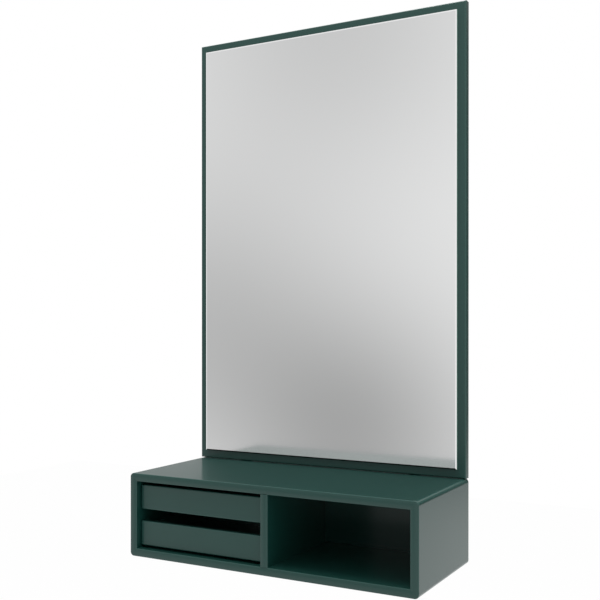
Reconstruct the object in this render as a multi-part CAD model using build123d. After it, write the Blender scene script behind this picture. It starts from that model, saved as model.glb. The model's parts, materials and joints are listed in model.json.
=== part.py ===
from build123d import *
import math
import os

# Wall mirror above a shallow wall cabinet with two tray drawers and an open niche, in millimetres.
# X runs left to right as seen from the room, Y runs into the wall and Z runs up.
# Y = 0 is the wall. The origin is the middle of the cabinet rail's row of screw holes.

# Cabinet boards
cabinet_w = 468.0
cabinet_d = 200.0
cabinet_h = 126.0
board_t = 12.0
crown_rise = 0.7
arris_r = 1.2

# Back panel of the cabinet, held in grooves
back_t = 4.0
back_groove_depth = 6.0
back_play = 0.1

# Drawer bay, its two drawers and their gaps
bay_w = 219.0
front_h = 36.0
front_t = 12.0
front_setback = 7.0
front_side_gap = 1.5
front_top_gap = 7.0
front_bottom_gap = 5.0
front_arris_r = 2.0
box_inset = 1.0
box_raise = 2.0
box_side_t = 10.0
box_side_h = 29.0
box_back_t = 10.0
box_rabbet_depth = 3.0
box_arris_r = 1.0
tray_t = 4.0
tray_raise = 3.0
tray_groove_depth = 4.0
tray_play = 0.1

# Sliding dovetails, between each drawer side and its front
dovetail_root_w = 4.5
dovetail_tip_w = 6.5
dovetail_depth = 6.5
dovetail_stop = 5.0
dovetail_play = 0.1

# Runner strips, let into the walls and running in the grooves of the drawer sides
runner_h = 8.0
runner_depth = 7.0
runner_let_in = 2.5
runner_seat_play = 0.1
runner_raise = 8.0
runner_top_play = 0.05
runner_under_play = 0.6
runner_side_play = 0.5
runner_front_gap = 1.0
runner_rear_gap = 12.0
runner_bevel = 1.0

# Buffers that the closed drawers stop against
buffer_w = 14.0
buffer_h = 8.0
buffer_t = 3.0
buffer_gap = 0.3
buffer_spacing = 150.0

# Loose splines in the mitres
spline_t = 3.0
spline_w = 9.0
spline_from_inner = 7.5
spline_end_gap = 8.0
spline_play = 0.1

# Fluted dowels of the divider
dowel_r = 3.0
dowel_in_face = 7.0
dowel_in_end = 14.0
dowel_play = 0.05
dowel_end_play = 0.5
dowel_flute_count = 8
dowel_flute_depth = 0.4
dowel_inset = 36.0

# Hooked hanging bars, one profile for all four pieces
bar_t = 2.0
bar_play = 0.2
bar_flange = 18.0
bar_leg = 12.0
cabinet_bar_l = 400.0
mirror_bar_l = 364.0
wall_hole_r = 2.6
wall_hole_inset = 26.0
cabinet_hole_count = 4
mirror_hole_count = 2

# Hanging batten behind the cabinet's back panel, housed in the sides
batten_t = 12.0
batten_h = 60.0
batten_let_in = 4.0
batten_play = 0.1
bar_top_gap = 4.0

# Mirror panel and glass
mirror_h = 696.0
mirror_t = 12.0
mirror_gap = 3.5
mirror_arris_r = 2.5
glass_border = 12.0
glass_t = 4.0
bevel_w = 2.0
bevel_depth = 0.7
bond_t = 0.5
bond_w = 20.0
bond_end_gap = 26.0
bond_count = 4
pocket_drop = 40.0
pocket_side_play = 10.0
pocket_top_play = 3.0
pocket_lift_play = 15.0
pocket_floor_play = 0.1
pocket_corner_r = 6.0

# Link plates across the gap between mirror and cabinet
link_w = 18.0
link_t = 2.0
link_spacing = 300.0
link_on_cabinet = 10.0
link_on_mirror = 22.0
link_play = 0.1
link_hole_inset = 12.0

# Countersunk screws
screw_r = 1.6
screw_head_r = 3.2
screw_point_r = 0.4
screw_point_l = 2.0
screw_sides = 8
screw_play = 0.05
screw_foot_play = 0.5
recess_w = 0.9
recess_l = 3.4
recess_depth = 1.1
cleat_screw_l = 11.0
cleat_screw_count = 3
cleat_screw_inset = 24.0
mirror_screw_l = 7.0
link_screw_l = 9.0

# How far a cutting shape runs past the face that it opens
overcut = 1.0

# Places worked out from the sizes above
bar_step = bar_t + 2 * bar_play
hang_depth = bar_t + bar_step + bar_play
cleat_top_z = bar_flange / 2 + bar_leg + 2 * bar_t + bar_flange
cab_top = cleat_top_z + bar_top_gap + board_t
cab_bottom = cab_top - cabinet_h
bay_ceiling = cab_top - board_t
bay_floor = cab_bottom + board_t
half_w = cabinet_w / 2
inner_left = -half_w + board_t
inner_right = half_w - board_t
divider_x = inner_left + bay_w
batten_front = -hang_depth - batten_t
back_front = batten_front - back_t
front_y = -cabinet_d + front_setback
front_rear = front_y + front_t
box_rear = back_front - buffer_t - buffer_gap
front_left = inner_left + front_side_gap
front_right = divider_x - front_side_gap
box_left = front_left + box_inset
box_right = front_right - box_inset
runner_front = front_rear + runner_front_gap
runner_rear = back_front - runner_rear_gap
mirror_bottom = cab_top + mirror_gap
mirror_top = mirror_bottom + mirror_h
mirror_rail_z = mirror_top - pocket_drop - pocket_top_play - cleat_top_z
glass_rear = -mirror_t - bond_t

# The drawers' lowest places, and the X and inward way of their sides' outer faces and runner walls
bottoms = {
    "upper": bay_ceiling - front_top_gap - front_h,
    "lower": bay_floor + front_bottom_gap,
}
box_edges = {"left": (box_left, 1), "right": (box_right, -1)}
walls = {"left": (inner_left, 1), "right": (divider_x, -1)}


def block(x0, x1, y0, y1, z0, z1):
    # the two X values may come in either order
    middle = ((x0 + x1) / 2, (y0 + y1) / 2, (z0 + z1) / 2)
    return Pos(*middle) * Box(abs(x1 - x0), y1 - y0, z1 - z0)


def spread(count, length):
    # evenly spaced places, centred on zero
    return [length * (i / (count - 1) - 0.5) for i in range(count)]


def both_sides(spacing):
    return (-spacing / 2, spacing / 2)


def drill(radius, start, direction, length):
    return Plane(origin=start, z_dir=direction) * extrude(Circle(radius), amount=length)


def turned(points, start, direction):
    # a turned shape from its half outline, as (radius, distance along direction) points
    face = Plane.XZ * make_face(Polyline(*points, close=True))
    return Plane(origin=start, z_dir=direction) * revolve(face, axis=Axis.Z)


def group(pieces):
    return Compound(children=list(pieces))


def export(name, shape):
    export_step(shape, f"parts/{name}.step")


# Dowels and screws. Each seat is a start point and a direction.

def dowel(start, direction):
    # a pin with flutes for the glue, with play at its side and ends
    outer_r = dowel_r - dowel_play
    corners = []
    for i in range(dowel_flute_count):
        for radius, step in ((outer_r, 0), (outer_r, 0.5), (outer_r - dowel_flute_depth, 0.75)):
            angle = 2 * math.pi * (i + step) / dowel_flute_count
            corners.append((radius * math.cos(angle), radius * math.sin(angle)))
    length = dowel_in_face + dowel_in_end - 2 * dowel_end_play
    pin = extrude(make_face(Polyline(*corners, close=True)), amount=length)
    return Plane(origin=start, z_dir=direction) * Pos(0, 0, dowel_end_play) * pin


def screw_stretch(r0, r1, z0, z1):
    # a faceted stretch that narrows from one radius to the other
    flat_share = math.cos(math.pi / screw_sides)
    lean = math.degrees(math.atan2((r0 - r1) * flat_share, z1 - z0))
    return Pos(0, 0, z0) * extrude(RegularPolygon(r0, screw_sides), amount=z1 - z0, taper=lean)


def screw(length, start, direction):
    # the head's flat is at start and the point lies along direction
    neck_z = screw_head_r - screw_r
    point_z = length - screw_point_l
    body = screw_stretch(screw_head_r, screw_r, 0, neck_z)
    body += screw_stretch(screw_r, screw_r, neck_z, point_z)
    body += screw_stretch(screw_r, screw_point_r, point_z, length)
    for across in (0, 90):
        body -= Rot(0, 0, across) * Box(recess_l, recess_w, 2 * recess_depth)
    return Plane(origin=start, z_dir=direction) * body


def screw_hole(length, start, direction):
    # the head seats on the hole's cone, and the shank has play
    wall_r = screw_r + screw_play
    foot = length + screw_foot_play
    outline = [(0, 0), (screw_head_r, 0), (wall_r, screw_head_r - wall_r), (wall_r, foot), (0, foot)]
    return turned(outline, start, direction)


# Carcass boards

def edge_section(run):
    # across a board: X inward from its outer face, Y from the rear edge at 0 to the crowned front
    shoulder = crown_rise - run
    outline = [
        Line((0, 0), (0, shoulder)),
        ThreePointArc((0, shoulder), (board_t / 2, -run), (board_t, shoulder)),
        Line((board_t, shoulder), (board_t, 0)),
        Line((board_t, 0), (0, 0)),
    ]
    face = make_face(outline)
    return fillet(face.vertices().sort_by(Axis.Y)[0:2], radius=arris_r)


def carcass_board(length):
    # X inward from the outer face, Y along the depth, Z along the board. The ends are mitred. The outer
    # corner turns about the crown's ridge, so the outer half of the crown runs round it unbroken.
    corner_r = board_t / 2
    clear = cabinet_d + overcut
    section = edge_section(cabinet_d)
    outline = make_face(Polyline(
        (0, 0), (0, length), (board_t, length - board_t), (board_t, board_t), close=True
    ))
    board = extrude(section, amount=length) & extrude(Plane.XZ * outline, amount=clear, both=True)
    outer_half = section & Pos(corner_r / 2, 0) * Rectangle(corner_r, 2 * clear)
    for corner_z, turn in ((corner_r, -1), (length - corner_r, 1)):
        square = sorted((corner_z, corner_z + turn * corner_r))
        board -= block(0, corner_r, -clear, clear, *square)
        ridge = Axis((corner_r, 0, corner_z), (0, turn, 0))
        board += revolve(Pos(0, 0, corner_z) * outer_half, axis=ridge, revolution_arc=45)
    return board


def place_board(length, corner, inward, along):
    return Plane(origin=corner, x_dir=inward, z_dir=along) * carcass_board(length)


def spline_slab(side, level, play):
    # one loose spline, square across a mitre. side and level are -1 or 1.
    inner_z = bay_ceiling if level > 0 else bay_floor
    reach = spline_from_inner / math.sqrt(2)
    y0 = -cabinet_d + spline_end_gap
    y1 = back_front - spline_end_gap
    slab = Box(spline_w + 2 * play, y1 - y0 + 2 * play, spline_t + 2 * play)
    centre = Pos(side * (inner_right + reach), (y0 + y1) / 2, inner_z + level * reach)
    return centre * Rot(0, 45 * side * level, 0) * slab


def spline_slabs(play):
    return [spline_slab(side, level, play) for side in (-1, 1) for level in (-1, 1)]


def back_slab(play):
    # the back panel's outline in its groove, with play all round
    reach = back_groove_depth - back_play + play
    return block(
        inner_left - reach, inner_right + reach,
        back_front - play, batten_front + play,
        bay_floor - reach, bay_ceiling + reach,
    )


def batten_slab(play):
    # the hanging batten, whose ends are housed in the side boards
    reach = batten_let_in - batten_play + play
    return block(
        inner_left - reach, inner_right + reach,
        batten_front - play, -hang_depth + play,
        bay_ceiling - batten_h - play, bay_ceiling,
    )


def dowel_seats():
    x = divider_x + board_t / 2
    for y in (-cabinet_d + dowel_inset, back_front - dowel_inset):
        yield (x, y, bay_ceiling - dowel_in_end), (0, 0, 1)
        yield (x, y, bay_floor + dowel_in_end), (0, 0, -1)


# Drawers

def tray_slab(bottom, play):
    # the tray's bottom board in its grooves, with play all round
    reach = tray_groove_depth - tray_play + play
    low = bottom + box_raise + tray_raise
    return block(
        box_left + box_side_t - reach, box_right - box_side_t + reach,
        front_rear - reach, box_rear - box_back_t + reach,
        low - play, low + tray_t + play,
    )


def dovetail(outer, inward, low, high, play):
    # an upright tongue in front of a drawer side, wider at its tip, or with play the slot for it
    middle = outer + inward * box_side_t / 2
    root = dovetail_root_w / 2 + play
    tip = dovetail_tip_w / 2 + play
    tip_y = front_rear - dovetail_depth - play
    outline = Polyline(
        (middle - root, front_rear), (middle - tip, tip_y),
        (middle + tip, tip_y), (middle + root, front_rear), close=True
    )
    return Pos(0, 0, low) * extrude(make_face(outline), amount=high - low)


def dovetail_top(bottom):
    return bottom + box_raise + box_side_h - dovetail_stop


def drawer_front(bottom):
    front = block(front_left, front_right, front_y, front_rear, bottom, bottom + front_h)
    face_edges = front.faces().sort_by(Axis.Y)[0].edges()
    corner_edges = front.edges().filter_by(Axis.Y)
    front = fillet(face_edges + corner_edges, radius=front_arris_r)
    front -= tray_slab(bottom, tray_play)
    # the slots are open below, where the sides slide in
    slot = (bottom - overcut, dovetail_top(bottom) + dovetail_play, dovetail_play)
    return front - [dovetail(*edge, *slot) for edge in box_edges.values()]


def runner_z(bottom):
    return bottom + box_raise + runner_raise


def drawer_side(bottom, outer, inward):
    # outer is the X of the side's outer face and inward points to the drawer's middle
    inner = outer + inward * box_side_t
    low = bottom + box_raise
    high = low + box_side_h
    side = block(outer, inner, front_rear, box_rear, low, high)
    top_edges = side.faces().sort_by(Axis.Z)[-1].edges().filter_by(Axis.Y)
    side = fillet(top_edges, radius=box_arris_r)
    groove_depth = runner_depth - front_side_gap - box_inset + runner_side_play
    side -= block(
        outer - inward * overcut, outer + inward * groove_depth,
        front_rear - overcut, box_rear + overcut,
        runner_z(bottom) - runner_under_play, runner_z(bottom) + runner_h + runner_top_play,
    )
    side -= block(
        inner - inward * box_rabbet_depth, inner + inward * overcut,
        box_rear - box_back_t, box_rear + overcut,
        low - overcut, high + overcut,
    )
    side += dovetail(outer, inward, low, dovetail_top(bottom), 0)
    return side - tray_slab(bottom, tray_play)


def drawer_back(bottom):
    # its ends seat in the rabbets of the sides
    low = bottom + box_raise
    reach = box_side_t - box_rabbet_depth
    back = block(
        box_left + reach, box_right - reach,
        box_rear - box_back_t, box_rear,
        low, low + box_side_h,
    )
    top_edges = back.faces().sort_by(Axis.Z)[-1].edges().filter_by(Axis.X)
    back = fillet(top_edges, radius=box_arris_r)
    return back - tray_slab(bottom, tray_play)


def runner_block(bottom, wall, inward, play):
    low = runner_z(bottom)
    return block(
        wall - inward * (runner_let_in + play), wall + inward * runner_depth,
        runner_front - play, runner_rear + play,
        low - play, low + runner_h + play,
    )


def runner(bottom, wall, inward):
    # a strip let into the wall face at X = wall, bevelled where the drawer slides on
    strip = runner_block(bottom, wall, inward, 0)
    nose = strip.faces().sort_by(Axis.Y)[0].edges().filter_by(Axis.X)
    return chamfer(nose, length=runner_bevel)


def drawer_buffers():
    # two pads behind each drawer, level with the middle of its back
    for bottom in bottoms.values():
        middle = bottom + box_raise + box_side_h / 2
        for step in both_sides(buffer_spacing):
            x = (box_left + box_right) / 2 + step
            yield block(
                x - buffer_w / 2, x + buffer_w / 2,
                back_front - buffer_t, back_front,
                middle - buffer_h / 2, middle + buffer_h / 2,
            )


# Hooked hanging bars

def bar_section():
    # Y and Z, with the flange on the wall and the row of holes at Z = 0
    half = bar_flange / 2
    return make_face(Polyline(
        (0, -half),
        (0, half + bar_t),
        (-bar_step, half + bar_t),
        (-bar_step, half + bar_t + bar_leg),
        (-bar_step - bar_t, half + bar_t + bar_leg),
        (-bar_step - bar_t, half),
        (-bar_t, half),
        (-bar_t, -half),
        close=True,
    ))


def wall_rail(length, z, hole_count):
    bar = extrude(Plane.YZ * bar_section(), amount=length / 2, both=True)
    for x in spread(hole_count, length - 2 * wall_hole_inset):
        bar -= drill(wall_hole_r, (x, overcut, 0), (0, -1, 0), bar_t + 2 * overcut)
    return Pos(0, 0, z) * bar


def cleat_screw_seats(length, z):
    flange_z = z + cleat_top_z - bar_flange / 2
    for x in spread(cleat_screw_count, length - 2 * cleat_screw_inset):
        yield (x, bar_t - hang_depth, flange_z), (0, -1, 0)


def cleat(length, z, holes):
    # the rail's profile turned over, with its leg behind the rail's leg
    bar = extrude(Plane.YZ * bar_section(), amount=length / 2, both=True)
    bar = Pos(0, -hang_depth, cleat_top_z - bar_flange / 2) * Rot(180, 0, 0) * bar
    return Pos(0, 0, z) * bar - holes


# Link plates

def link_plate(x, play):
    half = link_w / 2 + play
    return block(
        x - half, x + half, -link_t - play, play,
        cab_top - link_on_cabinet - play, mirror_bottom + link_on_mirror + play,
    )


def link_screw_seats():
    for x in both_sides(link_spacing):
        yield (x, 0, cab_top - board_t / 2), (0, -1, 0)
        yield (x, 0, mirror_bottom + link_hole_inset), (0, -1, 0)


# Mirror

def mirror_panel():
    panel = block(-half_w, half_w, -mirror_t, 0, mirror_bottom, mirror_top)
    panel = fillet(panel.faces().sort_by(Axis.Y)[0].edges(), radius=mirror_arris_r)
    pocket_top = mirror_top - pocket_drop
    pocket_bottom = mirror_rail_z - bar_flange / 2 - pocket_lift_play
    pocket_w = mirror_bar_l + 2 * pocket_side_play
    outline = RectangleRounded(pocket_w, pocket_top - pocket_bottom, pocket_corner_r)
    pocket = extrude(Plane.XZ * outline, amount=hang_depth + pocket_floor_play)
    return panel - Pos(0, 0, (pocket_top + pocket_bottom) / 2) * pocket


def mirror_glass():
    # a plate whose face is bevelled back to the polished edge
    outline = Rectangle(cabinet_w - 2 * glass_border, mirror_h - 2 * glass_border)
    body_t = glass_t - bevel_depth
    lean = math.degrees(math.atan2(bevel_w, bevel_depth))
    plate = extrude(outline, amount=body_t)
    plate += Pos(0, 0, body_t) * extrude(outline, amount=bevel_depth, taper=lean)
    middle = (0, glass_rear, mirror_bottom + mirror_h / 2)
    return Plane(origin=middle, x_dir=(1, 0, 0), z_dir=(0, -1, 0)) * plate


def bond_strips():
    reach = glass_border + bond_end_gap
    for x in spread(bond_count, cabinet_w - 2 * reach - bond_w):
        yield block(
            x - bond_w / 2, x + bond_w / 2,
            glass_rear, -mirror_t,
            mirror_bottom + reach, mirror_top - reach,
        )


os.makedirs("parts", exist_ok=True)

# Shapes that cut more than one piece
dowel_holes = [drill(dowel_r, *seat, dowel_in_face + dowel_in_end) for seat in dowel_seats()]
runner_seats = {
    hand: [runner_block(low, *wall, runner_seat_play) for low in bottoms.values()]
    for hand, wall in walls.items()
}
cabinet_cleat_seats = list(cleat_screw_seats(cabinet_bar_l, 0))
cabinet_cleat_holes = [screw_hole(cleat_screw_l, *seat) for seat in cabinet_cleat_seats]
mirror_cleat_seats = list(cleat_screw_seats(mirror_bar_l, mirror_rail_z))
mirror_cleat_holes = [screw_hole(mirror_screw_l, *seat) for seat in mirror_cleat_seats]
link_holes = [screw_hole(link_screw_l, *seat) for seat in link_screw_seats()]
link_seats = [link_plate(x, link_play) for x in both_sides(link_spacing)]
grooves = [back_slab(back_play)] + spline_slabs(spline_play)

# Carcass
top = place_board(cabinet_w, (-half_w, 0, cab_top), (0, 0, -1), (1, 0, 0))
bottom = place_board(cabinet_w, (half_w, 0, cab_bottom), (0, 0, 1), (-1, 0, 0))
left = place_board(cabinet_h, (-half_w, 0, cab_bottom), (1, 0, 0), (0, 0, 1))
right = place_board(cabinet_h, (half_w, 0, cab_top), (-1, 0, 0), (0, 0, -1))
export("top_panel", top - grooves - dowel_holes - link_seats - link_holes)
export("bottom_panel", bottom - grooves - dowel_holes)
export("left_panel", left - grooves - batten_slab(batten_play) - runner_seats["left"])
export("right_panel", right - grooves - batten_slab(batten_play))
export("mitre_splines", group(spline_slabs(0)))

divider = extrude(edge_section(cabinet_d + back_front), amount=bay_ceiling - bay_floor)
divider = Pos(divider_x, back_front, bay_floor) * divider
export("divider", divider - dowel_holes - runner_seats["right"])
export("divider_dowels", group(dowel(*seat) for seat in dowel_seats()))

# Back of the cabinet and how it hangs
export("back_panel", back_slab(0))
export("hanging_batten", batten_slab(0) - cabinet_cleat_holes)
export("cabinet_wall_rail", wall_rail(cabinet_bar_l, 0, cabinet_hole_count))
export("cabinet_cleat", cleat(cabinet_bar_l, 0, cabinet_cleat_holes))
export("cabinet_cleat_screws", group(screw(cleat_screw_l, *seat) for seat in cabinet_cleat_seats))

# Drawers, with what they run on and stop against
for name, low in bottoms.items():
    export(f"{name}_drawer_front", drawer_front(low))
    export(f"{name}_drawer_back", drawer_back(low))
    export(f"{name}_drawer_bottom", tray_slab(low, 0))
    for hand, edge in box_edges.items():
        export(f"{name}_drawer_{hand}_side", drawer_side(low, *edge))
    for hand, wall in walls.items():
        export(f"{name}_{hand}_runner", runner(low, *wall))

export("drawer_buffers", group(drawer_buffers()))

# Mirror and how it hangs
export("mirror_panel", mirror_panel() - mirror_cleat_holes - link_seats - link_holes)
export("mirror_glass", mirror_glass())
export("bond_strips", group(bond_strips()))
export("mirror_wall_rail", wall_rail(mirror_bar_l, mirror_rail_z, mirror_hole_count))
export("mirror_cleat", cleat(mirror_bar_l, mirror_rail_z, mirror_cleat_holes))
export("mirror_cleat_screws", group(screw(mirror_screw_l, *seat) for seat in mirror_cleat_seats))
export("link_plates", group(link_plate(x, 0) - link_holes for x in both_sides(link_spacing)))
export("link_screws", group(screw(link_screw_l, *seat) for seat in link_screw_seats()))
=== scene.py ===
import json
import math

import bmesh
import bpy
from mathutils import Matrix, Vector


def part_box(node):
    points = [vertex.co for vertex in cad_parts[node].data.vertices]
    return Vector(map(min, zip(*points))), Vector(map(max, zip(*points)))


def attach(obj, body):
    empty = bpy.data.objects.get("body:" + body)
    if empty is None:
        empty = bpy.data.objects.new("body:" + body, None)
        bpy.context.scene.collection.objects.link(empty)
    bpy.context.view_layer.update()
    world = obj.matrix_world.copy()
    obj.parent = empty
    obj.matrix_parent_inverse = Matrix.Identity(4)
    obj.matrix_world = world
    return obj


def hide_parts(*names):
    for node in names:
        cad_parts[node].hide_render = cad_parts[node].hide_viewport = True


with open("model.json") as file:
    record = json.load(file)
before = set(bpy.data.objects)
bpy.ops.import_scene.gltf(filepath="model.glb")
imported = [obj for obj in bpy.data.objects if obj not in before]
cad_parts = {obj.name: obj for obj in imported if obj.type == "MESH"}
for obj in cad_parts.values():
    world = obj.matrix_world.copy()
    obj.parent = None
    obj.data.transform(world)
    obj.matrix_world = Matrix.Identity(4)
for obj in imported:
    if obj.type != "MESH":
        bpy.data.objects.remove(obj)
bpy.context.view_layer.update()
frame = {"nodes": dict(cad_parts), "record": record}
nodes = frame["nodes"]
print("frame loaded,", len(nodes), "nodes")


def mm(value):
    return value / 1000


# Camera, at a standing person's eye level to the right of the mirror

camera = {
    "place": (mm(657.5), mm(-1285.9), mm(284.5)),
    "turnDeg": 28.687,          # to the left of straight at the wall
    "tiltDeg": -0.141,
    "lensMm": 54.374,
    "shift": (-0.0022, 0.0451),
}


def placeCamera():
    bpy.ops.object.camera_add(location=camera["place"])
    made = bpy.context.object
    made.name = "camera"
    made.rotation_euler = (math.radians(90 + camera["tiltDeg"]), 0, math.radians(camera["turnDeg"]))
    made.data.lens = camera["lensMm"]
    made.data.shift_x, made.data.shift_y = camera["shift"]
    bpy.context.scene.camera = made
    bpy.context.scene.view_settings.view_transform = "Standard"
    print("camera placed")


placeCamera()


# Shader maths

class Wire:
    # one output in a node tree, which adds Math nodes when it is used in an expression
    def __init__(self, tree, out):
        self.tree = tree
        self.out = out

    def maths(self, operation, *values):
        return self.tree.add("ShaderNodeMath", {"operation": operation}, dict(enumerate(values)))

    def __add__(self, other):
        return self.maths("ADD", self, other)

    def __radd__(self, other):
        return self.maths("ADD", other, self)

    def __sub__(self, other):
        return self.maths("SUBTRACT", self, other)

    def __rsub__(self, other):
        return self.maths("SUBTRACT", other, self)

    def __mul__(self, other):
        return self.maths("MULTIPLY", self, other)

    def __rmul__(self, other):
        return self.maths("MULTIPLY", other, self)

    def __truediv__(self, other):
        return self.maths("DIVIDE", self, other)

    def exp(self):
        return self.maths("EXPONENT", self)

    def size(self):
        return self.maths("ABSOLUTE", self)

    def atLeast(self, other):
        return self.maths("MAXIMUM", self, other)

    def other(self, output):
        # another output of the same node
        return Wire(self.tree, self.out.node.outputs[output])


class Tree:
    # a node tree that is emptied and then filled by add
    def __init__(self, owner):
        owner.use_nodes = True
        self.tree = owner.node_tree
        self.tree.nodes.clear()

    def add(self, kind, settings=None, sockets=None, output=0):
        made = self.tree.nodes.new(kind)
        for name, value in (settings or {}).items():
            setattr(made, name, value)
        for name, value in (sockets or {}).items():
            if isinstance(value, Wire):
                self.tree.links.new(value.out, made.inputs[name])
            else:
                made.inputs[name].default_value = value
        return Wire(self, made.outputs[output]) if made.outputs else made

    def place(self):
        return self.add("ShaderNodeTexCoord", output="Object")

    def facing(self):
        return self.add("ShaderNodeTexCoord", output="Normal")

    def split(self, vector):
        parts = self.add("ShaderNodeSeparateXYZ", None, {"Vector": vector})
        return [parts.other(axis) for axis in "XYZ"]

    def stretched(self, vector, scale):
        return self.add("ShaderNodeMapping", None, {"Vector": vector, "Scale": scale})

    def mixColour(self, share, first, second):
        settings = {"data_type": "RGBA"}
        return self.add("ShaderNodeMix", settings, {0: share, 6: first, 7: second}, output=2)

    def noise(self, place, perMetre, detail=2, roughness=0.5):
        sockets = {"Vector": place, "Scale": perMetre, "Detail": detail, "Roughness": roughness}
        return self.add("ShaderNodeTexNoise", None, sockets)

    def ramp(self, value, ends):
        # 0 below the first end and 1 above the second, with a smooth change between
        settings = {"interpolation_type": "SMOOTHSTEP"}
        sockets = {"Value": value, "From Min": ends[0], "From Max": ends[1]}
        return self.add("ShaderNodeMapRange", settings, sockets)

    def bump(self, height, depth, under=None):
        sockets = {"Height": height, "Distance": depth, "Strength": 1.0}
        if under:
            sockets["Normal"] = under
        return self.add("ShaderNodeBump", None, sockets)

    def shader(self, sockets):
        bsdf = self.add("ShaderNodeBsdfPrincipled", None, sockets)
        self.add("ShaderNodeOutputMaterial", None, {"Surface": bsdf})


def newMaterial(name):
    made = bpy.data.materials.new(name)
    return made, Tree(made)


noiseMiddle = 0.5


# Dark green satin lacquer, sprayed on fibreboard. A dull haze lies over its sharper shine.

lacquer = {
    "colour": (0.0040, 0.052, 0.042, 1),
    "thinCoatAndHighlightColour": (0.012, 0.078, 0.064, 1),      # lighter on the arrises and crowned rims: partly a thinner coat, partly a painted highlight
    "flatFrom": (0.88, 0.995),                   # largest part of a normal, from arris to flat
    "thinCoatAndHighlightOnArris": 0.7,
    "thinInPatches": 0.3,
    "roughness": 0.17,
    "roughnessSpread": 0.05,
    "ior": 1.37,
    "hazeRoughness": 0.55,
    "hazeIor": 1.38,
    "patchPerMetre": 14,
    "peelPerMetre": 420,
    "peelDepth": mm(0.012),
    "dustPerMetre": 2600,
    "dustDepth": mm(0.0015),
}


def makeLacquer(name, haze):
    made, tree = newMaterial(name)
    place = tree.place()
    sides = [side.size() for side in tree.split(tree.facing())]
    arris = 1 - tree.ramp(sides[0].atLeast(sides[1]).atLeast(sides[2]), lacquer["flatFrom"])
    patches = tree.noise(place, lacquer["patchPerMetre"], detail=3) - noiseMiddle
    peel = tree.noise(place, lacquer["peelPerMetre"], detail=1)
    dust = tree.noise(place, lacquer["dustPerMetre"], detail=0)
    # arrises and crowned rims are mixed towards the lighter colour, partly thinner coat and partly painted
    # highlight; the patches add random tone
    thinCoatAndHighlight = arris * lacquer["thinCoatAndHighlightOnArris"] + patches * lacquer["thinInPatches"]
    tree.shader({
        "Base Color": tree.mixColour(thinCoatAndHighlight, lacquer["colour"], lacquer["thinCoatAndHighlightColour"]),
        "Roughness": lacquer["roughness"] + patches * lacquer["roughnessSpread"],
        "IOR": lacquer["ior"],
        "Coat Weight": haze,
        "Coat Roughness": lacquer["hazeRoughness"],
        "Coat IOR": lacquer["hazeIor"],
        "Normal": tree.bump(peel, lacquer["peelDepth"], tree.bump(dust, lacquer["dustDepth"])),
    })
    return made


# Silvered glass, with green ground sides and a grey painted back

glass = {
    "face": (0.90, 0.905, 0.905, 1),
    "side": (0.16, 0.34, 0.27, 1),
    "back": (0.20, 0.23, 0.22, 1),
    "foot": (0.006, 0.026, 0.022, 1),       # the lower bevel, near-black: painted shade and painted reflection of the dark, shaded seam below it
    "faceFrom": (0.4, 0.6),                 # how squarely a face or back looks along Y
    "footFrom": (0.10, 0.25),               # how far the lower bevel looks down, which sets where the painted shade goes
    "roughness": 0.10,
    "backRoughness": 0.35,
    "speckle": 0.1,
    "specklePerMetre": 900,
    "ior": 1.5,
}


def makeGlass():
    made, tree = newMaterial("silveredGlass")
    sides = tree.split(tree.facing())
    out = sides[1] * -1
    # mask of the lower bevel, whose near-black colour is painted shade for the seam below
    foot = tree.ramp(sides[2] * -1, glass["footFrom"])
    front = tree.ramp(out, glass["faceFrom"])
    back = tree.ramp(out * -1, glass["faceFrom"])
    speckle = tree.noise(tree.place(), glass["specklePerMetre"])
    rim = tree.mixColour(foot, tree.mixColour(front, glass["side"], glass["face"]), glass["foot"])
    tree.shader({
        "Base Color": tree.mixColour(back, rim, glass["back"]),
        "Metallic": front,
        "Roughness": glass["roughness"] + back * (glass["backRoughness"] + glass["speckle"] * speckle),
        "IOR": glass["ior"],
    })
    return made


# Extruded aluminium, with die lines that run along X

aluminium = {
    "colour": (0.56, 0.565, 0.575, 1),
    "lineColour": (0.42, 0.425, 0.435, 1),
    "lineStretch": (0.004, 1, 1),
    "lineFrom": (0.35, 0.75),
    "linesPerMetre": 2200,
    "lineDepth": mm(0.006),
    "cloudsPerMetre": 40,
    "roughness": 0.34,
    "cloudSpread": 0.16,
    "lineSpread": 0.12,
}


def makeAluminium():
    made, tree = newMaterial("extrudedAluminium")
    place = tree.place()
    drawn = tree.stretched(place, aluminium["lineStretch"])
    lines = tree.noise(drawn, aluminium["linesPerMetre"], detail=3, roughness=0.6)
    clouds = tree.noise(place, aluminium["cloudsPerMetre"], detail=3)
    dull = (clouds - noiseMiddle) * aluminium["cloudSpread"] + (lines - noiseMiddle) * aluminium["lineSpread"]
    line = tree.ramp(lines, aluminium["lineFrom"])
    tree.shader({
        "Base Color": tree.mixColour(line, aluminium["colour"], aluminium["lineColour"]),
        "Metallic": 1.0,
        "Roughness": aluminium["roughness"] + dull,
        "Normal": tree.bump(lines, aluminium["lineDepth"]),
    })
    return made


# Zinc plated steel, faintly mottled

steel = {
    "colour": (0.56, 0.57, 0.58, 1),
    "dullColour": (0.36, 0.375, 0.40, 1),
    "mottlePerMetre": 320,
    "mottleShare": 0.7,
    "grainsPerMetre": 700,
    "grainShare": 0.5,
    "dullFrom": (0.35, 0.75),
    "mottleDepth": mm(0.012),
    "roughness": 0.30,
    "dullRoughness": 0.16,
}


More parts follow.
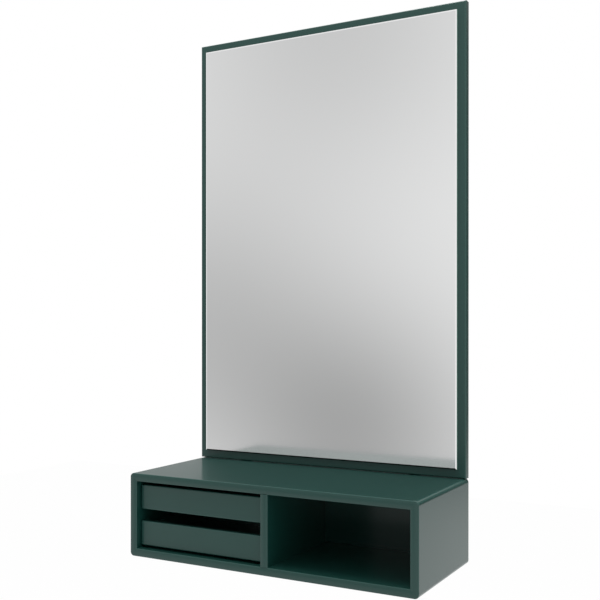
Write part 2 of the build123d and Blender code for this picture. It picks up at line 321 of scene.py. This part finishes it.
def makeSteel():
    made, tree = newMaterial("zincPlate")
    place = tree.place()
    mottle = tree.noise(place, steel["mottlePerMetre"], detail=4, roughness=0.65)
    grains = tree.add("ShaderNodeTexVoronoi", None, {"Vector": place, "Scale": steel["grainsPerMetre"]})
    dull = tree.ramp(mottle * steel["mottleShare"] + grains * steel["grainShare"], steel["dullFrom"])
    tree.shader({
        "Base Color": tree.mixColour(dull, steel["colour"], steel["dullColour"]),
        "Metallic": 1.0,
        "Roughness": steel["roughness"] + dull * steel["dullRoughness"],
        "Normal": tree.bump(mottle, steel["mottleDepth"]),
    })
    return made


# Beech. The grain runs along one of the three axes.

beech = {
    "colour": (0.46, 0.27, 0.135, 1),
    "ringColour": (0.34, 0.18, 0.085, 1),
    "fleckColour": (0.24, 0.115, 0.05, 1),
    "ringsPerMetre": 160,
    "ringStretch": 0.06,
    "ringFrom": (0.35, 0.68),
    "flecksPerMetre": 1500,
    "fleckStretch": 0.05,
    "fleckFrom": (0.62, 0.72),
    "fleckShare": 0.55,
    "ringHeight": 0.4,
    "fleckHeight": 0.6,
    "poreDepth": mm(0.05),
    "roughness": 0.52,
    "roughnessSpread": 0.2,
}


def makeBeech(name, along):
    made, tree = newMaterial(name)
    place = tree.place()

    def grain(stretch):
        return tree.stretched(place, [stretch if axis == along else 1.0 for axis in range(3)])

    rings = tree.noise(grain(beech["ringStretch"]), beech["ringsPerMetre"], detail=4, roughness=0.55)
    flecks = tree.noise(grain(beech["fleckStretch"]), beech["flecksPerMetre"], detail=1)
    fleck = tree.ramp(flecks, beech["fleckFrom"])
    wood = tree.mixColour(tree.ramp(rings, beech["ringFrom"]), beech["colour"], beech["ringColour"])
    tree.shader({
        "Base Color": tree.mixColour(fleck * beech["fleckShare"], wood, beech["fleckColour"]),
        "Roughness": beech["roughness"] + (rings - noiseMiddle) * beech["roughnessSpread"],
        "Normal": tree.bump(rings * beech["ringHeight"] - fleck * beech["fleckHeight"], beech["poreDepth"]),
    })
    return made


# Soft dark rubber of the buffers, and the pale elastic bond behind the glass

rubber = {
    "colour": (0.022, 0.022, 0.023, 1),
    "bloom": (0.050, 0.050, 0.050, 1),
    "perMetre": 700,
    "roughness": 0.72,
    "depth": mm(0.03),
}

bond = {
    "colour": (0.52, 0.51, 0.47, 1),
    "bloom": (0.40, 0.39, 0.36, 1),
    "perMetre": 260,
    "roughness": 0.60,
    "depth": mm(0.08),
}

soft = {"bloomFrom": (0.35, 0.7), "roughnessSpread": 0.2}


def makeSoft(name, look):
    made, tree = newMaterial(name)
    clouds = tree.noise(tree.place(), look["perMetre"], detail=4, roughness=0.6)
    tree.shader({
        "Base Color": tree.mixColour(tree.ramp(clouds, soft["bloomFrom"]), look["colour"], look["bloom"]),
        "Roughness": look["roughness"] + (clouds - noiseMiddle) * soft["roughnessSpread"],
        "Normal": tree.bump(clouds, look["depth"]),
    })
    return made


finishes = {
    "lacquer": makeLacquer("greenLacquer", haze=1.0),
    "mirror": makeGlass(),
    "aluminium": makeAluminium(),
    "steel": makeSteel(),
    "beech": makeBeech("beechAcross", along=0),
    "buffer": makeSoft("rubber", rubber),
    "bond": makeSoft("elasticBond", bond),
}
lacquerInside = makeLacquer("thinLacquerInside", haze=0.0)
beechDeep = makeBeech("beechDeep", along=1)
beechUpright = makeBeech("beechUpright", along=2)
slotOf = {part["node"]: part["material_slot"] for part in frame["record"]["subparts"]}


def dressNodes():
    for name, obj in nodes.items():
        finish = finishes[slotOf[name]]
        if "runner" in name:
            finish = beechDeep
        if "dowel" in name:
            finish = beechUpright
        if name == "back_panel":
            finish = lacquerInside
        obj.data.materials.clear()
        obj.data.materials.append(finish)
    nodes["bond_strips"].visible_glossy = False     # hidden by the glass, so the shelf doesn't show them
    print("nodes dressed")


dressNodes()


# Modelling helpers

def startFresh():
    if bpy.context.mode != "OBJECT":
        bpy.ops.object.mode_set(mode="OBJECT")
    bpy.ops.object.select_all(action="DESELECT")


def pickFaces(obj, wanted):
    # in edit mode, selects only the faces that wanted says yes to
    mesh = bmesh.from_edit_mesh(obj.data)
    for face in mesh.faces:
        face.select_set(wanted(face))
    mesh.select_flush_mode()
    bmesh.update_edit_mesh(obj.data)


def pickEdges(obj, wanted):
    mesh = bmesh.from_edit_mesh(obj.data)
    for edge in mesh.edges:
        edge.select_set(wanted(edge))
    mesh.select_flush_mode()
    bmesh.update_edit_mesh(obj.data)


def useModifier(obj, kind, **settings):
    bpy.context.view_layer.objects.active = obj
    made = obj.modifiers.new(kind.lower(), kind)
    for name, value in settings.items():
        setattr(made, name, value)
    bpy.ops.object.modifier_apply(modifier=made.name)


def smooth(obj, angleDeg):
    startFresh()
    obj.select_set(True)
    bpy.context.view_layer.objects.active = obj
    bpy.ops.object.shade_smooth_by_angle(angle=math.radians(angleDeg))


def join(pieces):
    startFresh()
    for piece in pieces:
        piece.select_set(True)
    bpy.context.view_layer.objects.active = pieces[0]
    bpy.ops.object.join()
    return bpy.context.object


def copyTo(model, matrix):
    made = model.copy()
    made.data = model.data.copy()
    made.data.transform(matrix)
    bpy.context.collection.objects.link(made)
    return made


def settle(obj, name, node, finish, body="root"):
    # gives the piece its name, finish and body in place of the CAD node
    obj.name = obj.data.name = name
    obj.data.materials.clear()
    obj.data.materials.append(finish)
    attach(obj, body)
    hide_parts(node)


# Pieces whose edges lie a little elsewhere in the photo than in the solids. Each edge is a side of the
# piece: the axis, whether its low or its high end, how deep the part that moves is, and how far it moves.

fitted = {
    "mirror_panel": {
        "name": "mirror_board",
        "body": "root",
        "smoothDeg": 14,
        "edges": [("z", "low", mm(6), mm(-3.0)), ("z", "high", mm(5), mm(-0.5))],
    },
    "mirror_glass": {
        "name": "mirror_plate",
        "body": "root",
        "smoothDeg": 8,
        "edges": [
            ("z", "low", mm(4), mm(-1.8)),
            ("z", "high", mm(4), mm(-1.2)),
            ("x", "low", mm(4), mm(0.7)),
            ("x", "high", mm(4), mm(-0.7)),
        ],
    },
    "upper_drawer_front": {
        "name": "upper_front",
        "body": "upper_drawer",
        "smoothDeg": 30,
        "edges": [("y", "low", mm(3.5), mm(2.5)), ("z", "high", mm(2.5), mm(1.0))],
    },
    "lower_drawer_front": {
        "name": "lower_front",
        "body": "lower_drawer",
        "smoothDeg": 30,
        "edges": [("y", "low", mm(3.5), mm(2.5)), ("z", "low", mm(2.5), mm(-1.0))],
    },
}

mergeGap = mm(0.002)


def pickEnd(obj, axis, end, depth):
    # in edit mode, selects the vertices within depth of one end of the piece
    mesh = bmesh.from_edit_mesh(obj.data)
    places = [vert.co[axis] for vert in mesh.verts]
    for vert in mesh.verts:
        away = vert.co[axis] - min(places) if end == "low" else max(places) - vert.co[axis]
        vert.select_set(away < depth)
    mesh.select_flush(True)
    bmesh.update_edit_mesh(obj.data)


def fitToPhoto():
    for node, piece in fitted.items():
        startFresh()
        made = copyTo(nodes[node], Matrix.Identity(4))
        made.select_set(True)
        bpy.context.view_layer.objects.active = made
        bpy.ops.object.mode_set(mode="EDIT")
        bpy.ops.mesh.select_mode(type="VERT")
        bpy.ops.mesh.select_all(action="SELECT")
        bpy.ops.mesh.remove_doubles(threshold=mergeGap)
        for axisName, end, depth, move in piece["edges"]:
            axis = "xyz".index(axisName)
            pickEnd(made, axis, end, depth)
            bpy.ops.transform.translate(value=[move if i == axis else 0 for i in range(3)])
        smooth(made, piece["smoothDeg"])
        useModifier(made, "WEIGHTED_NORMAL", keep_sharp=True)
        settle(made, piece["name"], node, finishes[slotOf[node]], piece["body"])
        made.visible_glossy = node != "mirror_glass"        # keeps the glass's glare off the shelf
    print("pieces fitted")


fitToPhoto()


# Countersunk screws with a cross recess. Each stands head up on the origin while it is modelled.

screw = {
    "headR": mm(3.15),
    "rimH": mm(0.08),
    "rimBevel": mm(0.05),
    "headH": mm(1.6),
    "neckR": mm(1.55),
    "neckH": mm(0.7),
    "shoulderH": mm(0.2),
    "coreR": mm(1.12),
    "rootR": mm(1.008),         # where the thread starts, a little inside the core
    "crestR": mm(1.58),
    "threadH": mm(0.9),
    "pitch": mm(1.25),
    "pointH": mm(2.0),
    "tipR": mm(0.2),
    "sides": 40,
    "threadSteps": 24,          # in one turn
    "recess": (mm(3.4), mm(0.9), mm(1.1)),      # length and width of an arm, and its depth
    "recessTaper": 0.45,
    "smoothDeg": 35,
    "firstTurnDeg": 37,         # no two screws stop at the same angle
    "nextTurnDeg": 61,
}

screwRows = {
    # node: its screws' length, count along X and count up
    "cabinet_cleat_screws": (mm(11), 3, 1),
    "mirror_cleat_screws": (mm(7), 3, 1),
    "link_screws": (mm(9), 2, 2),
}

cadHeadR = mm(3.2)


def drawOut(depth, ratio):
    # extrudes the picked face down and widens or narrows it
    bpy.ops.mesh.extrude_region_move(TRANSFORM_OT_translate={"value": (0, 0, -depth)})
    if ratio != 1:
        bpy.ops.transform.resize(value=(ratio, ratio, 1), center_override=(0, 0, 0))


def modelRecess():
    arms = []
    long, wide, deep = screw["recess"]
    taper = screw["recessTaper"]
    for size in ((long, wide), (wide, long)):
        startFresh()
        bpy.ops.mesh.primitive_cube_add(size=1)
        arm = bpy.context.object
        bpy.ops.object.mode_set(mode="EDIT")
        bpy.ops.transform.resize(value=(*size, 2 * deep), center_override=(0, 0, 0))
        pickFaces(arm, lambda face: face.normal.z < -0.5)
        bpy.ops.transform.resize(value=(taper, taper, 1), center_override=(0, 0, 0))
        startFresh()
        arms.append(arm)
    return arms


def modelThread(length):
    # A three-sided section is drawn as a circle of three points, one of them outwards, and then wound.
    # Such a circle is 1.5 radii deep and the square root of 3 radii high.
    start = -screw["headH"] - screw["neckH"]
    sectionR = (screw["crestR"] - screw["rootR"]) / 1.5
    startFresh()
    bpy.ops.mesh.primitive_circle_add(
        vertices=3, radius=sectionR, fill_type="NOTHING",
        location=(screw["crestR"] - sectionR, 0, start), rotation=(math.radians(90), math.radians(90), 0),
    )
    thread = bpy.context.object
    bpy.ops.object.transform_apply()
    bpy.ops.object.mode_set(mode="EDIT")
    bpy.ops.mesh.select_all(action="SELECT")
    stretch = screw["threadH"] / (sectionR * math.sqrt(3))
    bpy.ops.transform.resize(value=(1, 1, stretch), center_override=(0, 0, start))
    startFresh()
    turns = (length + start - screw["pointH"]) / screw["pitch"]
    steps = round(turns * screw["threadSteps"])
    useModifier(thread, "SCREW", angle=-turns * math.tau, screw_offset=-turns * screw["pitch"],
                steps=steps, render_steps=steps, use_merge_vertices=False)
    bpy.ops.object.mode_set(mode="EDIT")
    bpy.ops.mesh.select_all(action="SELECT")
    bpy.ops.mesh.fill_holes(sides=3)
    bpy.ops.mesh.normals_make_consistent(inside=False)
    startFresh()
    return thread


def modelScrew(length):
    startFresh()
    bpy.ops.mesh.primitive_cylinder_add(
        vertices=screw["sides"], radius=screw["headR"], depth=screw["rimH"],
        location=(0, 0, -screw["rimH"] / 2),
    )
    made = bpy.context.object
    bpy.ops.object.transform_apply(location=True)
    bpy.ops.object.mode_set(mode="EDIT")
    pickFaces(made, lambda face: face.normal.z < -0.5)
    coreH = length - screw["headH"] - screw["neckH"] - screw["shoulderH"] - screw["pointH"]
    drawOut(screw["headH"] - screw["rimH"], screw["neckR"] / screw["headR"])
    drawOut(screw["neckH"], 1)
    drawOut(screw["shoulderH"], screw["coreR"] / screw["neckR"])
    drawOut(coreH, 1)
    drawOut(screw["pointH"], screw["tipR"] / screw["coreR"])
    pickEdges(made, lambda edge: all(abs(vert.co.z) < mm(0.01) for vert in edge.verts))
    bpy.ops.mesh.bevel(offset=screw["rimBevel"], segments=2)
    startFresh()
    for arm in modelRecess():
        useModifier(made, "BOOLEAN", operation="DIFFERENCE", object=arm, solver="EXACT")
        bpy.data.objects.remove(arm)
    made = join([made, modelThread(length)])
    smooth(made, screw["smoothDeg"])
    return made


def spread(low, high, count, inset):
    # places of the middles of a row's pieces, which lie inset from the row's ends
    if count == 1:
        return [(low + high) / 2]
    step = (high - low - 2 * inset) / (count - 1)
    return [low + inset + step * i for i in range(count)]


def makeScrews():
    headToWall = Matrix.Rotation(math.radians(-90), 4, "X")
    for node, (length, across, up) in screwRows.items():
        model = modelScrew(length)
        low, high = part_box(node)
        pieces = []
        for x in spread(low.x, high.x, across, cadHeadR):
            for z in spread(low.z, high.z, up, cadHeadR):
                turnDeg = screw["firstTurnDeg"] + screw["nextTurnDeg"] * len(pieces)
                turn = Matrix.Rotation(math.radians(turnDeg), 4, "Z")
                pieces.append(copyTo(model, Matrix.Translation((x, high.y, z)) @ headToWall @ turn))
        bpy.data.objects.remove(model)
        settle(join(pieces), node.replace("screws", "crossScrews"), node, finishes["steel"])
    print("screws made")


makeScrews()


# Rubber buffers, softly rounded pads with a dished face

buffers = {
    "node": "drawer_buffers",
    "across": 2,
    "up": 2,
    "w": mm(14),
    "h": mm(8),
    "cornerR": mm(2.2),
    "edgeR": mm(0.6),
    "dishBorder": mm(1.0),
    "dishDepth": mm(0.25),
    "smoothDeg": 50,
}


def makeBuffers():
    low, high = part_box(buffers["node"])
    thick = high.y - low.y
    startFresh()
    bpy.ops.mesh.primitive_cube_add(size=1)
    model = bpy.context.object
    bpy.ops.object.mode_set(mode="EDIT")
    bpy.ops.transform.resize(value=(buffers["w"], thick, buffers["h"]), center_override=(0, 0, 0))
    pickEdges(model, lambda edge: abs((edge.verts[0].co - edge.verts[1].co).normalized().y) > 0.9)
    bpy.ops.mesh.bevel(offset=buffers["cornerR"], segments=6)
    pickFaces(model, lambda face: face.normal.y < -0.9)
    bpy.ops.mesh.bevel(offset=buffers["edgeR"], segments=4, affect="EDGES")
    pickFaces(model, lambda face: face.normal.y < -0.99)
    bpy.ops.mesh.inset(thickness=buffers["dishBorder"], depth=0)
    bpy.ops.transform.translate(value=(0, buffers["dishDepth"], 0))
    smooth(model, buffers["smoothDeg"])
    middle = (low.y + high.y) / 2
    pieces = [
        copyTo(model, Matrix.Translation((x, middle, z)))
        for x in spread(low.x, high.x, buffers["across"], buffers["w"] / 2)
        for z in spread(low.z, high.z, buffers["up"], buffers["h"] / 2)
    ]
    bpy.data.objects.remove(model)
    settle(join(pieces), "rubber_buffers", buffers["node"], finishes["buffer"])
    print("buffers made")


makeBuffers()


# Studio. The world is the pale room that the mirror and the lacquer show.

room = {
    "level": 0.892,
    # towards the room: degrees right of straight out from the wall, degrees up, how much dimmer, how wide
    "dimmer": [
        (-35.9, 0.4, 0.32, 9.4),
        (-25.0, -7.2, 0.45, 8.4),
        (-26.9, 18.8, 0.26, 10.1),
    ],
    "farDim": 0.58,             # how much dimmer the far side is, above a pale floor and below a pale ceiling
    "farRightDim": 0.34,        # how much more than that to the right
    "ambientLow": 0.45,
    "ambientHigh": 1.00,
    "ambientFrontDim": 0.75,
    # where each of these sets in, as parts of a way of length 1
    "farFrom": (0.3, 0.6),
    "rightFrom": (-0.15, 0.02),
    "floorTo": (-0.22, -0.10),
    "ceilingFrom": (0.30, 0.42),
    "ambientFrom": (-0.3, 0.9),
    "frontFrom": (0.45, 0.95),
}


def wayTo(azimuthDeg, elevationDeg):
    azimuth, elevation = math.radians(azimuthDeg), math.radians(elevationDeg)
    across = math.cos(elevation)
    return Vector((math.sin(azimuth) * across, -math.cos(azimuth) * across, math.sin(elevation)))


def roomLevel(tree, way):
    # what a glossy surface shows of the room
    level = room["level"]
    for azimuth, elevation, depth, widthDeg in room["dimmer"]:
        sockets = {0: way, 1: wayTo(azimuth, elevation)}
        along = tree.add("ShaderNodeVectorMath", {"operation": "DOT_PRODUCT"}, sockets, output="Value")
        spot = 1 - math.cos(math.radians(widthDeg))
        level = level - depth * ((along - 1) / spot).exp()
    x, y, z = tree.split(way)
    band = tree.ramp(z, room["floorTo"]) * (1 - tree.ramp(z, room["ceilingFrom"]))
    farSide = tree.ramp(y, room["farFrom"]) * band
    return level * (1 - farSide * (room["farDim"] + room["farRightDim"] * tree.ramp(x, room["rightFrom"])))


def ambientLevel(tree, way):
    # what lights a matt surface
    y, z = tree.split(way)[1:]
    rise = room["ambientHigh"] - room["ambientLow"]
    level = room["ambientLow"] + rise * tree.ramp(z, room["ambientFrom"])
    return level * (1 - room["ambientFrontDim"] * tree.ramp(y * -1, room["frontFrom"]))


def makeWorld():
    world = bpy.data.worlds.new("room")
    bpy.context.scene.world = world
    tree = Tree(world)
    way = tree.add("ShaderNodeTexCoord")
    rays = tree.add("ShaderNodeLightPath")
    mirroredRay = rays.other("Is Glossy Ray").atLeast(rays.other("Is Transmission Ray"))
    paint = {"Color": (1, 1, 1, 1)}
    mirrored = tree.add("ShaderNodeBackground", None, {**paint, "Strength": roomLevel(tree, way)})
    lighting = tree.add("ShaderNodeBackground", None, {**paint, "Strength": ambientLevel(tree, way)})
    white = tree.add("ShaderNodeBackground", None, {**paint, "Strength": 1.0})
    unseen = tree.add("ShaderNodeMixShader", None, {0: mirroredRay, 1: lighting, 2: mirrored})
    shown = tree.add("ShaderNodeMixShader", None, {0: rays.other("Is Camera Ray"), 1: unseen, 2: white})
    tree.add("ShaderNodeOutputWorld", None, {"Surface": shown})
    print("room made")


makeWorld()

lamp = {"place": (0.1, -0.35, 2.4), "aim": (0, -0.1, 0.1), "size": 1.2, "watts": 31}


def hangLamp():
    bpy.ops.object.light_add(type="AREA", location=lamp["place"])
    made = bpy.context.object
    made.name = "overheadLamp"
    made.data.shape = "DISK"
    made.data.size = lamp["size"]
    made.data.energy = lamp["watts"]
    aim = Vector(lamp["aim"]) - Vector(lamp["place"])
    made.rotation_euler = aim.to_track_quat("-Z", "Y").to_euler()
    print("lamp hung")


hangLamp()

floor = {
    "level": -1.15,
    "size": 12.0,
    "colour": (0.9, 0.9, 0.9, 1),
    "white": 0.96,              # share of plain white that the camera sees over the lit floor
}


def layFloor():
    bpy.ops.mesh.primitive_plane_add(size=floor["size"], location=(0, 0, floor["level"]))
    made = bpy.context.object
    made.name = "floor"
    material, tree = newMaterial("paleFloor")
    lit = tree.add("ShaderNodeBsdfDiffuse", None, {"Color": floor["colour"]})
    glow = tree.add("ShaderNodeEmission", None, {"Color": (1, 1, 1, 1), "Strength": 1.0})
    rays = tree.add("ShaderNodeLightPath")
    shown = tree.add("ShaderNodeMixShader", None, {0: rays * floor["white"], 1: lit, 2: glow})
    tree.add("ShaderNodeOutputMaterial", None, {"Surface": shown})
    made.data.materials.append(material)
    made.visible_glossy = False
    print("floor laid")


layFloor()
